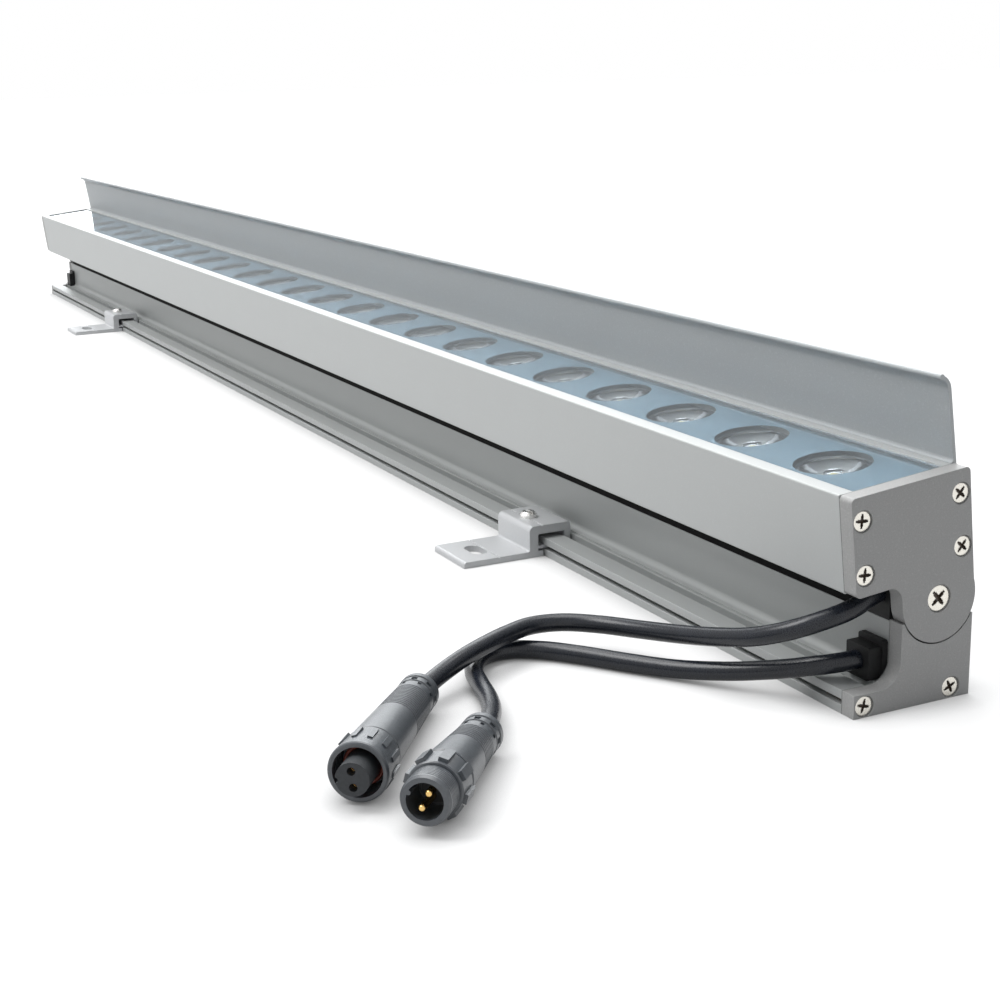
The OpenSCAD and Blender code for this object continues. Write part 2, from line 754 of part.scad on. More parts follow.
module board_screws() color("#d8d3c8") place() leaning()
  for (b = [0:board_n - 1], i = board_screw_slots)
    translate([slot_x(b, i), lens_y, chip_z]) difference() {
      union() {
        cylinder(h = 1.7, r = 2.6);
        translate([0, 0, -board_t - web_t]) cylinder(h = board_t + web_t, r = screw_r);
      }
      for (a = [0, 90]) rotate([0, 0, a]) translate([0, 0, 1.7]) cube([3, 0.6, 2], center = true);
    }

module led_chips() color("#f2e6a0") place() leaning() each_lens() {
  translate([-chip_w / 2, -chip_w / 2, chip_z]) cube([chip_w, chip_w, chip_t]);
  translate([0, 0, chip_z + chip_t]) intersection() {
    sphere(1.4);
    translate([-2, -2, -0.1]) cube([4, 4, 3]);
  }
}

// Collimating lens: a flared body over the chip with a thin flange at its top
module lens_optics() color("#dfe8ec", 0.6) place() leaning() each_lens()
  translate([0, 0, lens_z]) rotate_extrude() polygon([
    [0, 3], [2.7, 2.4], [2.9, 0], [4.6, 0], [6.6, 2.2], [8.3, 4.4], [9.4, 6.1],
    [9.4, 6.95], [lens_r, 6.95], [lens_r, lens_h], [0, lens_h]
  ]);

module lens_holders() color("#d5d8d8") place() leaning() for (b = [0:board_n - 1]) {
  l = per_board * lens_pitch - board_gap;
  difference() {
    translate([lens_x(b, (per_board - 1) / 2) - l / 2, lens_y - board_w / 2, holder_z])
      cube([l, board_w, holder_t]);
    for (i = [0:per_board - 1])
      translate([lens_x(b, i), lens_y, holder_z - cut]) cylinder(h = holder_t + 2 * cut, r = 9.6);
  }
  for (i = leg_slots, y = [-9, 9])
    translate([slot_x(b, i), lens_y + y, chip_z]) cylinder(h = holder_z - chip_z + 0.1, r = 1.4);
}

// Brackets, with the section's y from the foot's front edge as elsewhere

module bracket_section() {
  difference() {
    union() {
      translate([-bracket_reach + 1, 0]) square([bracket_reach - 1 + bracket_heel_y, bracket_t]);
      translate([-bracket_reach, 0]) square([2, bracket_t - 1]);
      translate([-bracket_reach + 1, bracket_t - 1]) circle(1);
      translate([bracket_wall_y, 0]) square([bracket_wall_t, bracket_h - bracket_round]);
      translate([bracket_wall_y + bracket_round, bracket_h - bracket_round]) circle(bracket_round);
      translate([bracket_wall_y + bracket_round, bracket_top_z])
        square([bracket_back_y - 1 - bracket_wall_y - bracket_round, bracket_h - bracket_top_z]);
      translate([bracket_lip_y, bracket_lip_z])
        square([bracket_lip_t, bracket_h - 1 - bracket_lip_z]);
      translate([bracket_back_y - 1, bracket_h - 1]) circle(1);
      translate([bracket_wall_y + bracket_wall_t - cut, bracket_hook_z])
        square([bracket_hook_y - bracket_wall_y - bracket_wall_t + cut, bracket_hook_t]);
      root_fillet(bracket_wall_y, bracket_t, 0.8);
    }
    translate([foot_score_y, bracket_t - score_d]) square([score_w, cut]);
    translate([top_score_y, bracket_h - score_d]) square([score_w, cut]);
  }
}

module bracket(x) color("#c6c9ca") place() difference() {
  along_x(x - bracket_l / 2, x + bracket_l / 2) bracket_section();
  straight = bracket_slot_l - bracket_slot_w;
  translate([x, bracket_slot_y, -cut]) {
    for (side = [-1, 1])
      translate([side * straight / 2, 0, 0]) cylinder(h = bracket_t + 2 * cut, r = bracket_slot_w / 2);
    translate([-straight / 2, -bracket_slot_w / 2, 0]) cube([straight, bracket_slot_w, bracket_t + 2 * cut]);
  }
  translate([x, clamp_y, bracket_top_z - cut])
    cylinder(h = bracket_h - bracket_top_z + 2 * cut, r = clamp_r + run_gap);
}
module bracket_near() bracket(bracket_near_x);
module bracket_far() bracket(bracket_far_x);

module clamp_screw(x) color("#d8d3c8") place() translate([x, clamp_y, 0]) difference() {
  union() {
    translate([0, 0, bracket_h]) cylinder(h = clamp_head_h * 0.55, r = clamp_head_r);
    translate([0, 0, bracket_h + clamp_head_h * 0.55])
      cylinder(h = clamp_head_h * 0.45, r1 = clamp_head_r, r2 = clamp_head_r * 0.72);
    translate([0, 0, foot_h + clamp_gap]) cylinder(h = bracket_h - foot_h - clamp_gap, r = clamp_r);
  }
  translate([0, 0, bracket_h + clamp_head_h]) cube([clamp_head_r * 2.2, 1, 2], center = true);
}
module clamp_screw_near() clamp_screw(bracket_near_x);
module clamp_screw_far() clamp_screw(bracket_far_x);

// Leads

module lead(route, turn, tilt) {
  points = [for (p = route) in_frame(p)];
  end = [cos(tilt) * cos(turn), cos(tilt) * sin(turn), sin(tilt)];
  tube(line_of(points, lead_steps), lead_d / 2, lead_sides, [0, -1, 0], end);
}
module upper_cable() color("#23272c") place() lead(upper_route, socket_turn, socket_tilt);
module lower_cable() color("#23272c") place() lead(lower_route, pin_turn, pin_tilt);

// Plugs

module gland_shape() {
  r = gland_r;
  g = gland_r - gland_groove;
  difference() {
    rotate_extrude() polygon([
      [0, 0], [r - 1, 0], [r - 0.3, 0.3], [r, 1], [r, 3], [g, 3.2], [g, 4], [r, 4.2], [r, 6.4], [g, 6.6],
      [g, 7.3], [r, 7.5], [r, gland_l - 0.3], [plug_r0 - 0.1, gland_l], [0, gland_l]
    ]);
    for (a = [0:45:315]) rotate([0, 0, a]) translate([r - 0.45, -0.8, 4.4]) cube([cut, 1.6, 1.8]);
    for (a = [22.5:45:337.5]) rotate([0, 0, a]) translate([r - 0.4, -0.5, 7.6]) cube([cut, 1, 1.4]);
  }
}

// Tapered barrel from the gland to z = l, finely ribbed next to the gland
module barrel_shape(l, ribs) {
  slope = (plug_r1 - plug_r0) / (l - gland_l);
  rotate_extrude() polygon(concat(
    [[0, gland_l], [plug_r0, gland_l]],
    [for (i = [0:ribs - 1]) let (z = gland_l + 0.5 + i * rib_pitch, r = plug_r0 + slope * (z - gland_l))
      each [[r, z], [r - rib_d, z + 0.15], [r - rib_d, z + rib_pitch / 2 - 0.15], [r, z + rib_pitch / 2]]],
    [[plug_r1 - 0.02, l - 0.3], [plug_r1 - 0.3, l], [0, l]]
  ));
}

module in_socket() place() plug_at(socket_at, socket_turn, socket_tilt) children();
module in_pin() place() plug_at(pin_at, pin_turn, pin_tilt) children();

module socket_gland() color("#505357") in_socket() gland_shape();

module socket_body() color("#505357") in_socket() {
  barrel_shape(socket_body_l, socket_rib_n);
  translate([0, 0, socket_body_l]) cylinder(h = neck_l, r = neck_r);
  translate([0, 0, socket_body_l + nut_lip_t + 0.4]) cylinder(h = neck_l - nut_lip_t - 0.4, r = nut_bore_r - 0.2);
}

module socket_nut() color("#5a5d61") in_socket() translate([0, 0, socket_body_l + 0.2]) {
  l = nut_l - 0.2;
  difference() {
    union() {
      rotate_extrude() polygon([
        [0, 0], [nut_r0 - 0.3, 0], [nut_r0, 0.4], [nut_r1, l - 0.7], [nut_r1 - 0.15, l - 0.2],
        [nut_r1 - 0.5, l], [0, l]
      ]);
      for (i = [0:nut_rib_n - 1]) rotate([0, 0, 360 * (i + 0.5) / nut_rib_n])
        translate([nut_r0 - 0.5, -nut_rib[1] / 2, 2.2]) cube([nut_rib[2] + 0.75, nut_rib[1], nut_rib[0]]);
    }
    translate([0, 0, -cut]) cylinder(h = nut_l, r = neck_r + neck_gap);
    translate([0, 0, nut_lip_t]) cylinder(h = nut_l, r = nut_bore_r);
    for (i = [0:4]) translate([0, 0, l - 6.5 + thread_pitch * i]) cylinder(h = thread_pitch / 2, r = nut_bore_r + 0.2);
  }
}

module contact_pair(r, z0, z1) {
  for (side = [-1, 1]) translate([side * contact_off, 0, z0]) cylinder(h = z1 - z0, r = r);
}

module socket_insert() color("#6a6d70") in_socket() {
  z0 = socket_body_l + neck_l;
  rotate([0, 0, 6]) difference() {
    translate([0, 0, z0]) cylinder(h = insert_l, r = insert_r);
    contact_pair(contact_r + 0.1, z0 + 2, z0 + insert_l + cut);
    translate([0, -insert_r, z0 + insert_l - 4]) cylinder(h = 4 + cut, r = key_r);
  }
}

module socket_contacts() color("#c9a24a") in_socket() rotate([0, 0, 6]) difference() {
  z0 = socket_body_l + neck_l + 2;
  contact_pair(contact_r + 0.05, z0, z0 + insert_l - 5);
  contact_pair(contact_r - 0.2, z0 + 3, z0 + insert_l);
}

module socket_seal() color("#d9602a") in_socket()
  translate([0, 0, socket_body_l + nut_l - seal_in])
    rotate_extrude() translate([insert_r + seal_r + 0.02, 0]) circle(seal_r);

module pin_gland() color("#505357") in_pin() gland_shape();

module pin_body() color("#505357") in_pin() {
  barrel_z = pin_body_l + collar_l;
  barrel_shape(pin_body_l, pin_rib_n);
  difference() {
    union() {
      translate([0, 0, pin_body_l]) rotate_extrude() polygon([
        [0, 0], [collar_r - collar_groove[0], 0], [collar_r - collar_groove[0], collar_groove[1]],
        [collar_r, collar_groove[1] + 0.2], [collar_r, collar_l - 0.9], [collar_r - 0.3, collar_l - 0.6],
        [barrel_r - 0.3, collar_l - 0.5], [barrel_r - 0.3, collar_l], [0, collar_l]
      ]);
      for (i = [0:lug_n - 1]) rotate([0, 0, 360 * i / lug_n + 30])
        translate([collar_r - 0.6, -lug[1] / 2, pin_body_l + 1.4]) cube([lug[2] + 0.6, lug[1], lug[0]]);
      translate([0, 0, barrel_z]) rotate_extrude() polygon(concat(
        [[0, 0], [barrel_r, 0]],
        [for (i = [0:6]) let (z = 0.3 + i * thread_pitch)
          each [[barrel_r, z], [barrel_r - 0.18, z + 0.15], [barrel_r - 0.18, z + 0.3], [barrel_r, z + 0.45]]],
        [[barrel_r, barrel_l - barrel_edge[1]], [barrel_r - barrel_edge[0], barrel_l], [0, barrel_l]]
      ));
    }
    translate([0, 0, barrel_z + barrel_l - pin_depth]) difference() {
      cylinder(h = pin_depth + cut, r = socket_r);
      rotate([0, 0, -25]) translate([0, -insert_r - 0.1, -cut]) cylinder(h = pin_depth + cut, r = key_r - 0.1);
    }
  }
}

module pin_insert() color("#34373a") in_pin() rotate([0, 0, -25]) difference() {
  z0 = pin_body_l + collar_l + barrel_l - pin_depth;
  translate([0, 0, z0]) cylinder(h = 1.2, r = insert_r - key_r - 0.1);
  contact_pair(contact_r + 0.02, z0 - cut, z0 + 1.2 + cut);
}

module pin_contacts() color("#c9a24a") in_pin() rotate([0, 0, -25]) {
  z0 = pin_body_l + collar_l + barrel_l - pin_depth;
  contact_pair(contact_r, z0, z0 + pin_depth - contact_r);
  for (side = [-1, 1]) translate([side * contact_off, 0, z0 + pin_depth - contact_r]) sphere(contact_r);
}

base_profile();
base_cap_near();
base_cap_far();
base_gasket_near();
base_gasket_far();
base_cap_screws();
pivot_block_near();
pivot_block_far();
pivot_block_screws();
pivot_screw_near();
pivot_screw_far();
friction_washers();
trough_seal();
lower_grommet();
upper_grommet();
lower_plug_far();
upper_plug_far();
splice_block();
splice_screws();
supply_cores();
feed_lead_base();
head_profile();
head_cap_near();
head_cap_far();
head_gasket_near();
head_gasket_far();
head_cap_screws();
front_glass();
glass_gasket();
visor();
led_boards();
board_links();
board_screws();
led_chips();
lens_optics();
lens_holders();
feed_lead_head();
bracket_near();
bracket_far();
clamp_screw_near();
clamp_screw_far();
upper_cable();
lower_cable();
socket_gland();
socket_body();
socket_nut();
socket_insert();
socket_contacts();
socket_seal();
pin_gland();
pin_body();
pin_insert();
pin_contacts();
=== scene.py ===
# A one metre outdoor wall washer bar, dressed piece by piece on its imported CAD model.
import math
import bmesh
import bpy
from mathutils import Matrix, Vector


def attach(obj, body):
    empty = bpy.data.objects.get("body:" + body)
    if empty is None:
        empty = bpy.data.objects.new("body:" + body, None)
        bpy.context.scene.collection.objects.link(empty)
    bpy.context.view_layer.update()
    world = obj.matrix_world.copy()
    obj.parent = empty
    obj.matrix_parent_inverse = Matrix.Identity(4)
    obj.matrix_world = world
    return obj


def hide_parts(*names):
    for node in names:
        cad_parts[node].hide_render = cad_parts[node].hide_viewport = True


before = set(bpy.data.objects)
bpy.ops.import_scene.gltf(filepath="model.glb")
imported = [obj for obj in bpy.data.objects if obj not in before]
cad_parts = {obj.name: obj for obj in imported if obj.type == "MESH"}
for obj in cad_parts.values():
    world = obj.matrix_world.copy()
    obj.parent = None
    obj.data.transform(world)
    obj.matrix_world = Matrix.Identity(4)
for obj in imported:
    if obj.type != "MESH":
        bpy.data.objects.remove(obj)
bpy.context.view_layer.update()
bpy.context.scene.view_settings.view_transform = "Standard"

# Camera
# A short way off the near end, a little above the bar and in front of it, looking along it.
# Its place and turn were solved from the bar's straight edges and from the even row of lenses.
camera = bpy.data.objects.new("camera", bpy.data.cameras.new("camera"))
camera.data.sensor_width = 36
camera.data.lens = 60.236
camera.data.clip_start = 0.01
view_right = Vector((0.443234, 0.896114, -0.022884))
view_down = Vector((0.219507, -0.133253, -0.966468))
view_ahead = Vector((-0.869114, 0.423348, -0.255766))
camera_place = Vector((0.82844, -0.28117, 0.17060))
camera_turn = Matrix((view_right, -view_down, -view_ahead)).transposed()
camera.matrix_world = Matrix.Translation(camera_place) @ camera_turn.to_4x4()
bpy.context.scene.collection.objects.link(camera)
bpy.context.scene.camera = camera

# Leads
# Two free rubber leads, 5.4 mm thick, each about 175 mm long with a plug on its end.
# They leave the near end through the strain reliefs and lie on the floor, the upper one over the other.
lead_radius = 0.0027
upper_route = [
    (0.4901, -0.0041, 0.0303), (0.4901, -0.0076, 0.0293), (0.4901, -0.0112, 0.0276), (0.4901, -0.0148, 0.0265),
    (0.4899, -0.0186, 0.0257), (0.4890, -0.0224, 0.0247), (0.4868, -0.0264, 0.0232), (0.4820, -0.0306, 0.0208),
    (0.4740, -0.0342, 0.0178), (0.4620, -0.0370, 0.0146), (0.4480, -0.0402, 0.0117), (0.4340, -0.0450, 0.0097),
    (0.4220, -0.0516, 0.0088), (0.4148, -0.0602, 0.0088), (0.4134, -0.0700, 0.0090), (0.4168, -0.0796, 0.0090),
    (0.4216, -0.0886, 0.0090), (0.4266, -0.0978, 0.0085), (0.4316, -0.1072, 0.0070), (0.4378, -0.1163, 0.0057),
]
lower_route = [
    (0.4886, -0.0097, 0.0116), (0.4881, -0.0146, 0.0115), (0.4867, -0.0180, 0.0111), (0.4842, -0.0211, 0.0104),
    (0.4796, -0.0247, 0.0089), (0.4730, -0.0292, 0.0070), (0.4640, -0.0354, 0.0049), (0.4520, -0.0438, 0.0032),
    (0.4400, -0.0522, 0.0028), (0.4280, -0.0606, 0.0028), (0.4188, -0.0684, 0.0028), (0.4132, -0.0774, 0.0028),
    (0.4148, -0.0868, 0.0028), (0.4234, -0.0934, 0.0028), (0.4342, -0.0966, 0.0028), (0.4450, -0.0994, 0.0031),
    (0.4550, -0.1032, 0.0040), (0.4640, -0.1082, 0.0051), (0.4716, -0.1136, 0.0057),
]


def lead_line(route, steps=6):
    points = [Vector(p) for p in route]
    points = [2 * points[0] - points[1]] + points + [2 * points[-1] - points[-2]]
    line = []
    for a, b, c, d in zip(points, points[1:], points[2:], points[3:]):
        for k in range(steps):
            t = k / steps
            line.append(0.5 * (2 * b + (c - a) * t + (2 * a - 5 * b + 4 * c - d) * t * t
                               + (3 * b - a - 3 * c + d) * t ** 3))
    return line + [points[-2]]


def free_lead(name, route, node):
    line = lead_line(route)
    curve = bpy.data.curves.new(name, "CURVE")
    curve.dimensions = "3D"
    # The round section is one metre in radius, and each point's own radius brings it down to the lead's.
    curve.bevel_depth = 1
    curve.bevel_resolution = 6
    curve.use_fill_caps = True
    spline = curve.splines.new("POLY")
    spline.points.add(len(line) - 1)
    for point, at in zip(spline.points, line):
        point.co = (*at, 1)
        point.radius = lead_radius
    lead = bpy.data.objects.new(name, curve)
    bpy.context.scene.collection.objects.link(lead)
    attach(lead, "base")
    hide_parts(node)
    return lead


upper_lead = free_lead("upper_lead", upper_route, "upper_cable")
lower_lead = free_lead("lower_lead", lower_route, "lower_cable")


# Small steps that every material below is put together from
def surface_nodes(name):
    material = bpy.data.materials.new(name)
    material.use_nodes = True
    nodes = material.node_tree.nodes
    return material, nodes, material.node_tree.links, nodes["Principled BSDF"]


def object_place(nodes):
    return nodes.new("ShaderNodeTexCoord").outputs["Object"]


def ramp(nodes, links, source, stops):
    node = nodes.new("ShaderNodeValToRGB")
    while len(node.color_ramp.elements) < len(stops):
        node.color_ramp.elements.new(0.5)
    for element, (position, colour) in zip(node.color_ramp.elements, stops):
        element.position = position
        element.color = (*colour, 1) if len(colour) == 3 else (colour[0],) * 3 + (1,)
    links.new(source, node.inputs["Fac"])
    return node.outputs["Color"]


def noise(nodes, links, place, scale, detail=2.0, roughness=0.5):
    node = nodes.new("ShaderNodeTexNoise")
    node.inputs["Scale"].default_value = scale
    node.inputs["Detail"].default_value = detail
    node.inputs["Roughness"].default_value = roughness
    links.new(place, node.inputs["Vector"])
    return node.outputs["Fac"]


def bump(nodes, links, height, strength, distance, normal=None):
    node = nodes.new("ShaderNodeBump")
    node.inputs["Strength"].default_value = strength
    node.inputs["Distance"].default_value = distance
    links.new(height, node.inputs["Height"])
    if normal is not None:
        links.new(normal, node.inputs["Normal"])
    return node.outputs["Normal"]


# Moulded rubber and plastic: a slow noise shifts the colour, a fine one moves the gloss and the skin a little.
def moulded_finish(name, dark, light, rough, wave_scale, mirror=0.5):
    material, nodes, links, shader = surface_nodes(name)
    place = object_place(nodes)
    slow = noise(nodes, links, place, wave_scale, 3.0)
    fine = noise(nodes, links, place, wave_scale * 14, 1.0)
    links.new(ramp(nodes, links, slow, [(0.3, dark), (0.7, light)]), shader.inputs["Base Color"])
    links.new(ramp(nodes, links, fine, [(0.3, (rough - 0.04,)), (0.7, (rough + 0.06,))]),
              shader.inputs["Roughness"])
    links.new(bump(nodes, links, fine, 0.12, 0.0001), shader.inputs["Normal"])
    shader.inputs["Specular IOR Level"].default_value = mirror
    return material


lead_rubber = moulded_finish(
    "lead_rubber", (0.006, 0.008, 0.013), (0.010, 0.013, 0.020), rough=0.27, wave_scale=260, mirror=0.4)
for lead in (upper_lead, lower_lead):
    lead.data.materials.append(lead_rubber)

# Floor and light
# A plain white floor and four soft lamps in a white surround, as in a small product studio.
# The light comes from the front, from above and from behind the far end, so the near end's faces stay darker.
floor_half = 9
floor_mesh = bpy.data.meshes.new("floor")
floor_mesh.from_pydata([(x * floor_half, y * floor_half, 0) for x, y in ((-1, -1), (1, -1), (1, 1), (-1, 1))],
                       [], [(0, 1, 2, 3)])
floor = bpy.data.objects.new("floor", floor_mesh)
bpy.context.scene.collection.objects.link(floor)
floor_paper, nodes, links, shader = surface_nodes("floor_paper")
shader.inputs["Base Color"].default_value = (0.36, 0.36, 0.36, 1)
shader.inputs["Roughness"].default_value = 0.9
shader.inputs["Specular IOR Level"].default_value = 0.1


def seen_directly(nodes, links):
    path = nodes.new("ShaderNodeLightPath")
    seen = path.outputs["Is Camera Ray"]
    for kind in ("Is Glossy Ray", "Is Transmission Ray"):
        either = nodes.new("ShaderNodeMath")
        either.operation = "MAXIMUM"
        links.new(seen, either.inputs[0])
        links.new(path.outputs[kind], either.inputs[1])
        seen = either.outputs[0]
    return seen


# The paper glows a little where it is seen, and more where the lamps fall off, so that it stays white to the horizon.
# Close under a piece the glow fades, which leaves the contact shadow.
lamps_fade_from, lamps_faded_at = 1.0, 2.4
glow_near, glow_far = 0.66, 0.96
contact_distance = 0.012
links.new(seen_directly(nodes, links), shader.inputs["Emission Strength"])
from_bar = nodes.new("ShaderNodeVectorMath")
from_bar.operation = "LENGTH"
links.new(object_place(nodes), from_bar.inputs[0])
fading = nodes.new("ShaderNodeMapRange")
fading.inputs["From Min"].default_value = lamps_fade_from
fading.inputs["From Max"].default_value = lamps_faded_at
links.new(from_bar.outputs["Value"], fading.inputs["Value"])
glow = ramp(nodes, links, fading.outputs["Result"], [(0.0, (glow_near,)), (1.0, (glow_far,))])
covered = nodes.new("ShaderNodeAmbientOcclusion")
covered.samples = 8
covered.inputs["Distance"].default_value = contact_distance
links.new(glow, covered.inputs["Color"])
links.new(covered.outputs["Color"], shader.inputs["Emission Color"])
floor.data.materials.append(floor_paper)

world = bpy.data.worlds.new("surround")
bpy.context.scene.world = world
world.use_nodes = True
nodes, links = world.node_tree.nodes, world.node_tree.links
seen_white = nodes["Background"]
seen_white.inputs["Color"].default_value = (1, 1, 1, 1)
seen_white.inputs["Strength"].default_value = 1.0
ambient = nodes.new("ShaderNodeBackground")
ambient.inputs["Color"].default_value = (0.93, 0.96, 1.0, 1)
ambient.inputs["Strength"].default_value = 0.30
mix = nodes.new("ShaderNodeMixShader")
links.new(seen_directly(nodes, links), mix.inputs["Fac"])
links.new(ambient.outputs[0], mix.inputs[1])
links.new(seen_white.outputs[0], mix.inputs[2])
links.new(mix.outputs[0], nodes["World Output"].inputs["Surface"])


def soft_lamp(name, at, towards, size, watts, colour=(1, 1, 1)):
    lamp = bpy.data.objects.new(name, bpy.data.lights.new(name, "AREA"))
    lamp.data.shape = "SQUARE"
    lamp.data.size = size
    lamp.data.energy = watts
    lamp.data.color = colour
    lamp.location = at
    lamp.rotation_euler = (Vector(towards) - Vector(at)).to_track_quat("-Z", "Y").to_euler()
    bpy.context.scene.collection.objects.link(lamp)


soft_lamp("lamp_front", at=(-0.15, -1.2, 1.9), towards=(0.1, 0, 0), size=1.2, watts=37)
soft_lamp("lamp_above", at=(-0.2, 0.2, 2.0), towards=(0.0, 0, 0), size=1.5, watts=28)
soft_lamp("lamp_near_end", at=(1.9, -0.9, 0.9), towards=(0.4, 0, 0), size=1.0, watts=0.6)
soft_lamp("lamp_behind", at=(-2.4, 1.3, 1.1), towards=(0.2, 0, 0), size=2.4, watts=56, colour=(0.95, 0.98, 1.0))

# Aluminium, for the extrusions and their end caps
# The bar's metal is 6063 aluminium, fine blasted and clear anodised: a pale satin skin with a sparkle of grain.
# The grain and a painted highlight along sharp edges are effects that several of its materials share.


def new_group(name, inputs, outputs):
    group = bpy.data.node_groups.new(name, "ShaderNodeTree")
    for label, kind, value in inputs:
        socket = group.interface.new_socket(label, in_out="INPUT", socket_type=kind)
        if value is not None:
            socket.default_value = value
    for label, kind in outputs:
        group.interface.new_socket(label, in_out="OUTPUT", socket_type=kind)
    return group, group.nodes.new("NodeGroupInput"), group.nodes.new("NodeGroupOutput")


# Blasted grain: a fine even speckle, and the few brighter specks that catch the light
blasted_grain, given, put = new_group(
    "blasted_grain",
    [("Place", "NodeSocketVector", None), ("Scale", "NodeSocketFloat", 4000.0)],
    [("Grain", "NodeSocketFloat"), ("Specks", "NodeSocketFloat"), ("Cloud", "NodeSocketFloat")])
nodes, links = blasted_grain.nodes, blasted_grain.links
for label, share, detail in (("Grain", 1.0, 2.0), ("Specks", 0.55, 0.0), ("Cloud", 0.012, 3.0)):
    times = nodes.new("ShaderNodeMath")
    times.operation = "MULTIPLY"
    times.inputs[1].default_value = share
    links.new(given.outputs["Scale"], times.inputs[0])
    texture = nodes.new("ShaderNodeTexNoise")
    texture.inputs["Detail"].default_value = detail
    links.new(given.outputs["Place"], texture.inputs["Vector"])
    links.new(times.outputs[0], texture.inputs["Scale"])
    if label == "Specks":
        stretch = nodes.new("ShaderNodeMapRange")
        stretch.inputs["From Min"].default_value = 0.66
        stretch.inputs["From Max"].default_value = 0.74
        links.new(texture.outputs["Fac"], stretch.inputs["Value"])
        links.new(stretch.outputs["Result"], put.inputs[label])
    else:
        links.new(texture.outputs["Fac"], put.inputs[label])

# Edge highlight: a painted highlight, brighter colour where the surface turns sharply within a short distance
edge_highlight, given, put = new_group(
    "edge_highlight", [("Break", "NodeSocketFloat", 0.6)], [("EdgeHighlight", "NodeSocketFloat"), ("Normal", "NodeSocketVector")])
nodes, links = edge_highlight.nodes, edge_highlight.links
rounded = nodes.new("ShaderNodeBevel")
rounded.samples = 4
rounded.inputs["Radius"].default_value = 0.00035
true_normal = nodes.new("ShaderNodeNewGeometry")
across = nodes.new("ShaderNodeVectorMath")
across.operation = "DOT_PRODUCT"
links.new(rounded.outputs["Normal"], across.inputs[0])
links.new(true_normal.outputs["Normal"], across.inputs[1])
turned = nodes.new("ShaderNodeMapRange")
turned.inputs["From Min"].default_value = 0.995
turned.inputs["From Max"].default_value = 0.90
links.new(across.outputs["Value"], turned.inputs["Value"])
kept = nodes.new("ShaderNodeMath")
kept.operation = "MULTIPLY"
links.new(turned.outputs["Result"], kept.inputs[0])
links.new(given.outputs["Break"], kept.inputs[1])
links.new(kept.outputs[0], put.inputs["EdgeHighlight"])
links.new(rounded.outputs["Normal"], put.inputs["Normal"])


def blasted_aluminium(name, colour, rough, metal, grain_scale, grain_depth, speckle, sparkle=0.12):
    material, nodes, links, shader = surface_nodes(name)
    place = object_place(nodes)
    grain = nodes.new("ShaderNodeGroup")
    grain.node_tree = blasted_grain
    grain.inputs["Scale"].default_value = grain_scale
    links.new(place, grain.inputs["Place"])
    edge_light = nodes.new("ShaderNodeGroup")
    edge_light.node_tree = edge_highlight
    body = ramp(nodes, links, grain.outputs["Grain"], [
        (0.25, tuple(c * (1 - speckle) for c in colour)), (0.75, tuple(c * (1 + speckle) for c in colour))])
    # The last layer is a painted highlight: the colour turns brighter along sharp edges.
    layers = ((grain.outputs["Cloud"], 0.9, 0.25), (grain.outputs["Specks"], 1.4, sparkle),
              (edge_light.outputs["EdgeHighlight"], 1.35, 1.0))
    for factor, brighter, share in layers:
        times = nodes.new("ShaderNodeMath")
        times.operation = "MULTIPLY"
        times.inputs[1].default_value = share
        links.new(factor, times.inputs[0])
        blend = nodes.new("ShaderNodeMix")
        blend.data_type = "RGBA"
        blend.inputs["B"].default_value = (*(min(1, c * brighter) for c in colour), 1)
        links.new(times.outputs[0], blend.inputs["Factor"])
        links.new(body, blend.inputs["A"])
        body = blend.outputs["Result"]
    links.new(body, shader.inputs["Base Color"])
    links.new(ramp(nodes, links, grain.outputs["Grain"], [(0.3, (rough - 0.07,)), (0.7, (rough + 0.05,))]),
              shader.inputs["Roughness"])
    shader.inputs["Metallic"].default_value = metal
    links.new(bump(nodes, links, grain.outputs["Grain"], 0.5, grain_depth, edge_light.outputs["Normal"]),
              shader.inputs["Normal"])
    return material


def dress(material, *names):
    for name in names:
        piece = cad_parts[name]
        piece.data.materials.clear()
        piece.data.materials.append(material)


profile_aluminium = blasted_aluminium(
    "profile_aluminium", (0.52, 0.535, 0.53), rough=0.48, metal=0.25,
    grain_scale=5200, grain_depth=0.000008, speckle=0.02)
# The caps' colour is painted darker than the profile's, as the shade on their end faces.
cap_aluminium = blasted_aluminium(
    "cap_aluminium", (0.41, 0.41, 0.405), rough=0.52, metal=0.12,
    grain_scale=2600, grain_depth=0.000015, speckle=0.12, sparkle=0.25)

# Base
# An L-shaped extrusion with a slotted, hooked rail in front and a hollow column behind.
# It is cut to length and closed at both ends by machined caps on thin rubber seals; its colour is painted darker than
# the head's, as the shade that falls under the head.
foot_shaded_aluminium = blasted_aluminium(
    "foot_shaded_aluminium", (0.44, 0.455, 0.45), rough=0.48, metal=0.25,
    grain_scale=5200, grain_depth=0.000008, speckle=0.02)
dress(foot_shaded_aluminium, "base_profile")
dress(cap_aluminium, "base_cap_near", "base_cap_far")
gasket_rubber = moulded_finish("gasket_rubber", (0.22, 0.225, 0.22), (0.28, 0.285, 0.28), rough=0.62, wave_scale=900)
dress(gasket_rubber, "base_gasket_near", "base_gasket_far")

# Screws of the caps and of the pivot
# Countersunk steel screws, zinc-nickel plated to a warm cream sheen, with the cross recess painted dark as shade.
# The painted shade, a dull dark brown without metal, sits wherever the metal lies deeper than the flat of the head.
screw_steel = blasted_aluminium(
    "screw_steel", (0.80, 0.77, 0.70), rough=0.30, metal=0.9,
    grain_scale=1800, grain_depth=0.000006, speckle=0.04)
dress(screw_steel, "pivot_block_screws", "board_screws")
recess_shade_steel = screw_steel.copy()
recess_shade_steel.name = "recess_shade_steel"
nodes, links = recess_shade_steel.node_tree.nodes, recess_shade_steel.node_tree.links
shader = nodes["Principled BSDF"]
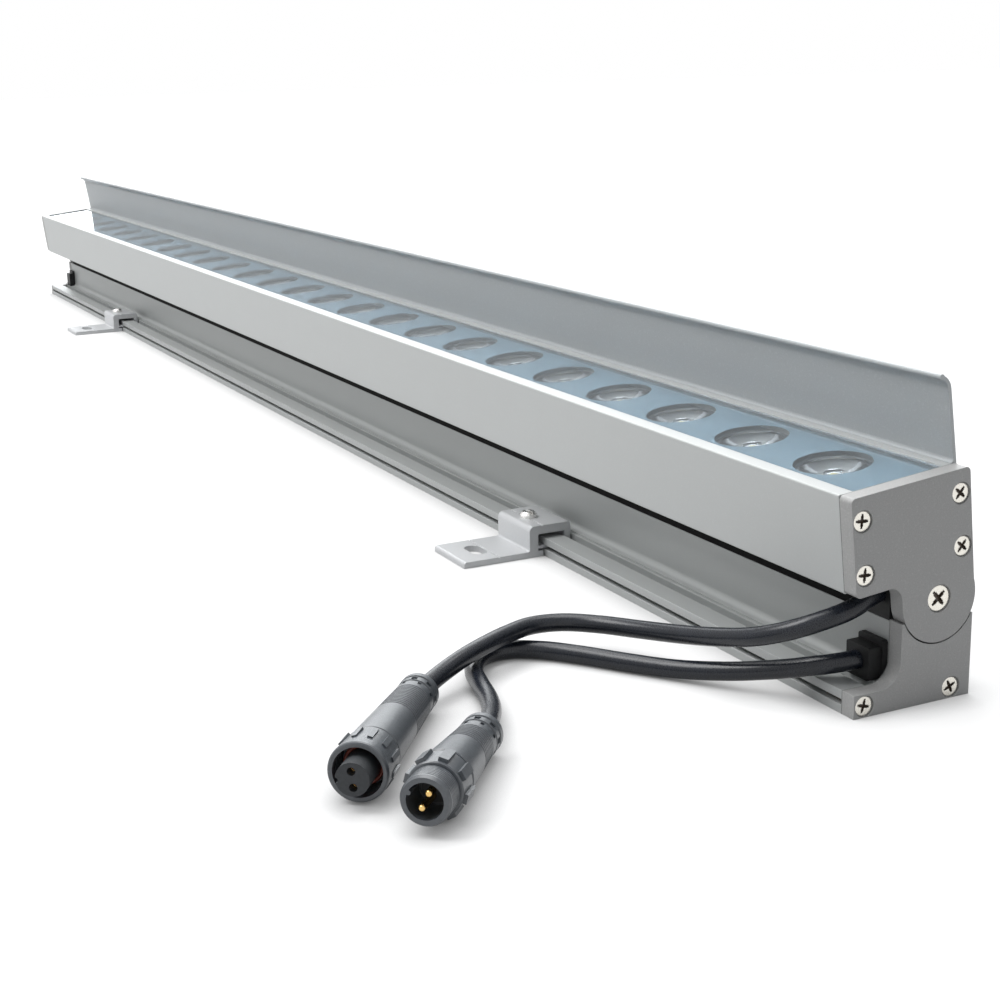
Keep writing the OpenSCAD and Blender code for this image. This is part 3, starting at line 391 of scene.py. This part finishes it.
# Painted shade: below the head's flat the colour turns dark brown and the metal dull.
head_flat = 0.49955
shade_starts, shade_full = head_flat - 0.00012, head_flat - 0.0005
apart = nodes.new("ShaderNodeSeparateXYZ")
links.new(object_place(nodes), apart.inputs[0])
from_middle = nodes.new("ShaderNodeMath")
from_middle.operation = "ABSOLUTE"
links.new(apart.outputs["X"], from_middle.inputs[0])
depth = nodes.new("ShaderNodeMapRange")
depth.inputs["From Min"].default_value = shade_starts
depth.inputs["From Max"].default_value = shade_full
links.new(from_middle.outputs[0], depth.inputs["Value"])
recess_shade = nodes.new("ShaderNodeMix")
recess_shade.data_type = "RGBA"
recess_shade.inputs["B"].default_value = (0.10, 0.07, 0.05, 1)
links.new(depth.outputs["Result"], recess_shade.inputs["Factor"])
links.new(shader.inputs["Base Color"].links[0].from_socket, recess_shade.inputs["A"])
links.new(recess_shade.outputs["Result"], shader.inputs["Base Color"])
links.new(ramp(nodes, links, depth.outputs["Result"], [(0.0, (0.9,)), (1.0, (0.0,))]), shader.inputs["Metallic"])
dress(recess_shade_steel, "base_cap_screws", "pivot_screw_near", "pivot_screw_far", "head_cap_screws")

# Pivot
# Threaded aluminium blocks in the trough take the pivot screws, with a nylon disc at each end.
block_aluminium = blasted_aluminium(
    "block_aluminium", (0.42, 0.43, 0.44), rough=0.35, metal=0.8,
    grain_scale=2200, grain_depth=0.00001, speckle=0.04)
dress(block_aluminium, "pivot_block_near", "pivot_block_far")
washer_plastic = moulded_finish(
    "washer_plastic", (0.03, 0.03, 0.032), (0.045, 0.045, 0.048), rough=0.5, wave_scale=700)
dress(washer_plastic, "friction_washers")

# Strain reliefs
# Moulded black rubber blocks: two grip the leads at the near end, two blind ones close the far end.
grommet_rubber = moulded_finish(
    "grommet_rubber", (0.010, 0.0105, 0.011), (0.016, 0.0165, 0.017), rough=0.5, wave_scale=700, mirror=0.25)
dress(grommet_rubber, "lower_grommet", "upper_grommet", "lower_plug_far", "upper_plug_far")

# Trough seal
# An extruded black rubber lip that stands on the column's front edge and fills the gap under the head: a dark piece
# put in to paint the deep shade in that gap.
# Its pale bloom makes it a little lighter than the strain reliefs.
gap_shade_rubber = moulded_finish(
    "gap_shade_rubber", (0.012, 0.012, 0.012), (0.018, 0.018, 0.018), rough=0.75, wave_scale=400, mirror=0.05)
dress(gap_shade_rubber, "trough_seal")

# Wiring in the column
# A white terminal with brass screws joins both leads to the feed that runs along the hinge into the head.
terminal_plastic = moulded_finish(
    "terminal_plastic", (0.62, 0.62, 0.58), (0.70, 0.70, 0.66), rough=0.45, wave_scale=500)
dress(terminal_plastic, "splice_block")
terminal_brass = blasted_aluminium(
    "terminal_brass", (0.62, 0.45, 0.18), rough=0.35, metal=1.0,
    grain_scale=1800, grain_depth=0.000006, speckle=0.03)
dress(terminal_brass, "splice_screws")
core_insulation = moulded_finish(
    "core_insulation", (0.24, 0.025, 0.018), (0.32, 0.04, 0.03), rough=0.45, wave_scale=600)
dress(core_insulation, "supply_cores", "board_links")
dress(lead_rubber, "feed_lead_base", "feed_lead_head")

# Plugs
# A socket plug with a loose coupling nut and a pin plug with a fine threaded barrel, moulded in dark grey nylon.
plug_plastic = moulded_finish(
    "plug_plastic", (0.060, 0.068, 0.078), (0.080, 0.090, 0.102), rough=0.33, wave_scale=900, mirror=0.8)
dress(plug_plastic, "socket_gland", "socket_body", "pin_gland", "pin_body")
nut_plastic = moulded_finish(
    "nut_plastic", (0.056, 0.064, 0.074), (0.078, 0.088, 0.100), rough=0.31, wave_scale=900, mirror=0.8)
dress(nut_plastic, "socket_nut")
insert_plastic = moulded_finish(
    "insert_plastic", (0.040, 0.043, 0.047), (0.052, 0.056, 0.060), rough=0.6, wave_scale=900, mirror=0.4)
dress(insert_plastic, "socket_insert", "pin_insert")
contact_brass = blasted_aluminium(
    "contact_brass", (0.75, 0.50, 0.19), rough=0.22, metal=1.0,
    grain_scale=1500, grain_depth=0.000004, speckle=0.02)
dress(contact_brass, "socket_contacts", "pin_contacts")
seal_rubber = moulded_finish("seal_rubber", (0.25, 0.05, 0.03), (0.32, 0.07, 0.04), rough=0.4, wave_scale=900)
dress(seal_rubber, "socket_seal")

# Head
# A box extrusion with the glass let into its top, and machined end caps that carry the round knuckles.
dress(profile_aluminium, "head_profile")
dress(cap_aluminium, "head_cap_near", "head_cap_far")
dress(gasket_rubber, "head_gasket_near", "head_gasket_far")

# Glass
# 3.8 mm toughened glass on a rubber bead. A blue-grey mask is fired on its underside, with a clear round
# window over each lens.
glass_pane, nodes, links, shader = surface_nodes("front_glass")
shader.inputs["Base Color"].default_value = (0.93, 0.97, 1.0, 1)
shader.inputs["Transmission Weight"].default_value = 1.0
shader.inputs["IOR"].default_value = 1.5
place = object_place(nodes)
smudge = noise(nodes, links, place, 45, 4.0, 0.6)
links.new(ramp(nodes, links, smudge, [(0.4, (0.015,)), (0.75, (0.03,))]), shader.inputs["Roughness"])


# Clear pieces throw only a faint shadow, so that the lamps light what lies behind them.
def faint_shadow(nodes, links, shader, share):
    path = nodes.new("ShaderNodeLightPath")
    shade = nodes.new("ShaderNodeMapRange")
    shade.inputs["To Min"].default_value = 1.0
    shade.inputs["To Max"].default_value = share
    links.new(path.outputs["Is Shadow Ray"], shade.inputs["Value"])
    links.new(shade.outputs["Result"], shader.inputs["Alpha"])


faint_shadow(nodes, links, shader, 0.12)
dress(glass_pane, "front_glass")
bead_rubber = moulded_finish(
    "bead_rubber", (0.075, 0.120, 0.150), (0.090, 0.140, 0.172), rough=0.6, wave_scale=900, mirror=0.2)
dress(bead_rubber, "glass_gasket")

# The mask is one flat sheet just under the glass, built level and then leaned with the head about its hinge.
# Each lens has a ring of faces between its round window and its own stretch of the sheet.
hinge = Vector((0, 0.0078, 0.0291))
lean = Matrix.Translation(hinge) @ Matrix.Rotation(math.radians(5.8), 4, "X") @ Matrix.Translation(-hinge)
lens_count, lens_pitch = 25, 0.0389
window_radius, window_y = 0.0110, 0.00035
mask_end, mask_front, mask_rear, mask_z = 0.4944, -0.01435, 0.01505, 0.05888
round_steps = 64
level = 1e-9
mask = bmesh.new()
for lens in range(lens_count):
    x = (lens - lens_count // 2) * lens_pitch
    west = x - lens_pitch / 2 if lens > 0 else -mask_end
    east = x + lens_pitch / 2 if lens < lens_count - 1 else mask_end
    round_edge, sheet_edge = [], []
    for k in range(round_steps):
        angle = 2 * math.pi * k / round_steps
        dx, dy = math.cos(angle), math.sin(angle)
        round_edge.append((x + window_radius * dx, window_y + window_radius * dy))
        sides = ((east if dx > 0 else west, x, dx), (mask_rear if dy > 0 else mask_front, window_y, dy))
        far = min((side - middle) / step for side, middle, step in sides if abs(step) > level)
        sheet_edge.append((x + far * dx, window_y + far * dy))
    for corner in ((east, mask_rear), (west, mask_rear), (west, mask_front), (east, mask_front)):
        angle = math.atan2(corner[1] - window_y, corner[0] - x) % (2 * math.pi)
        sheet_edge[round(angle / (2 * math.pi) * round_steps) % round_steps] = corner
    inner = [mask.verts.new((*at, mask_z)) for at in round_edge]
    outer = [mask.verts.new((*at, mask_z)) for at in sheet_edge]
    for k in range(round_steps):
        after = (k + 1) % round_steps
        mask.faces.new((inner[k], outer[k], outer[after], inner[after]))
mask.transform(lean)
mask_mesh = bpy.data.meshes.new("glass_mask")
mask.to_mesh(mask_mesh)
mask.free()
glass_mask = bpy.data.objects.new("glass_mask", mask_mesh)
bpy.context.scene.collection.objects.link(glass_mask)
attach(glass_mask, "head")
mask_paint, nodes, links, shader = surface_nodes("mask_paint")
place = object_place(nodes)
fine = noise(nodes, links, place, 1500, 2.0)
slow = noise(nodes, links, place, 18, 2.0)
links.new(ramp(nodes, links, slow, [(0.3, (0.122, 0.200, 0.252)), (0.7, (0.140, 0.222, 0.276))]),
          shader.inputs["Base Color"])
links.new(ramp(nodes, links, fine, [(0.3, (0.5,)), (0.7, (0.62,))]), shader.inputs["Roughness"])
glass_mask.data.materials.append(mask_paint)

# Visor
# A thin anodised extrusion that stands on the head's rear rim and keeps stray light off the eyes.
# Its colour is painted darker than the head profile's, as the shade on its front face.
visor_aluminium = blasted_aluminium(
    "visor_aluminium", (0.40, 0.42, 0.43), rough=0.50, metal=0.40,
    grain_scale=3000, grain_depth=0.000012, speckle=0.08, sparkle=0.2)
dress(visor_aluminium, "visor")

# Light engine
# White metal core boards carry one phosphor chip under each clear acrylic lens, held by a strip whose colour is
# painted dark as the shade seen at the rear of each window.
board_white = moulded_finish("board_white", (0.62, 0.63, 0.61), (0.70, 0.71, 0.69), rough=0.4, wave_scale=300)
dress(board_white, "led_boards")
chip_phosphor = moulded_finish("chip_phosphor", (0.75, 0.60, 0.12), (0.82, 0.68, 0.18), rough=0.3, wave_scale=900)
dress(chip_phosphor, "led_chips")
lens_clear, nodes, links, shader = surface_nodes("lens_clear")
shader.inputs["Base Color"].default_value = (0.96, 0.98, 1.0, 1)
shader.inputs["Transmission Weight"].default_value = 1.0
shader.inputs["IOR"].default_value = 1.49
place = object_place(nodes)
links.new(ramp(nodes, links, noise(nodes, links, place, 700, 1.0), [(0.3, (0.05,)), (0.7, (0.12,))]),
          shader.inputs["Roughness"])
faint_shadow(nodes, links, shader, 0.15)
dress(lens_clear, "lens_optics")
# Painted shade: the holder's near-black colour stands for the shade at the rear of the windows.
holder_plastic = moulded_finish(
    "holder_plastic", (0.05, 0.052, 0.055), (0.07, 0.073, 0.077), rough=0.4, wave_scale=500)
dress(holder_plastic, "lens_holders")

# Brackets
# Sawn lengths of a bent-shape extrusion that hook over the rail and are locked by a pan head screw.
bracket_aluminium = blasted_aluminium(
    "bracket_aluminium", (0.58, 0.59, 0.60), rough=0.42, metal=0.25,
    grain_scale=4800, grain_depth=0.000006, speckle=0.015)
dress(bracket_aluminium, "bracket_near", "bracket_far")
clamp_nickel = blasted_aluminium(
    "clamp_nickel", (0.78, 0.77, 0.75), rough=0.25, metal=1.0,
    grain_scale=1800, grain_depth=0.000003, speckle=0.02)
dress(clamp_nickel, "clamp_screw_near", "clamp_screw_far")
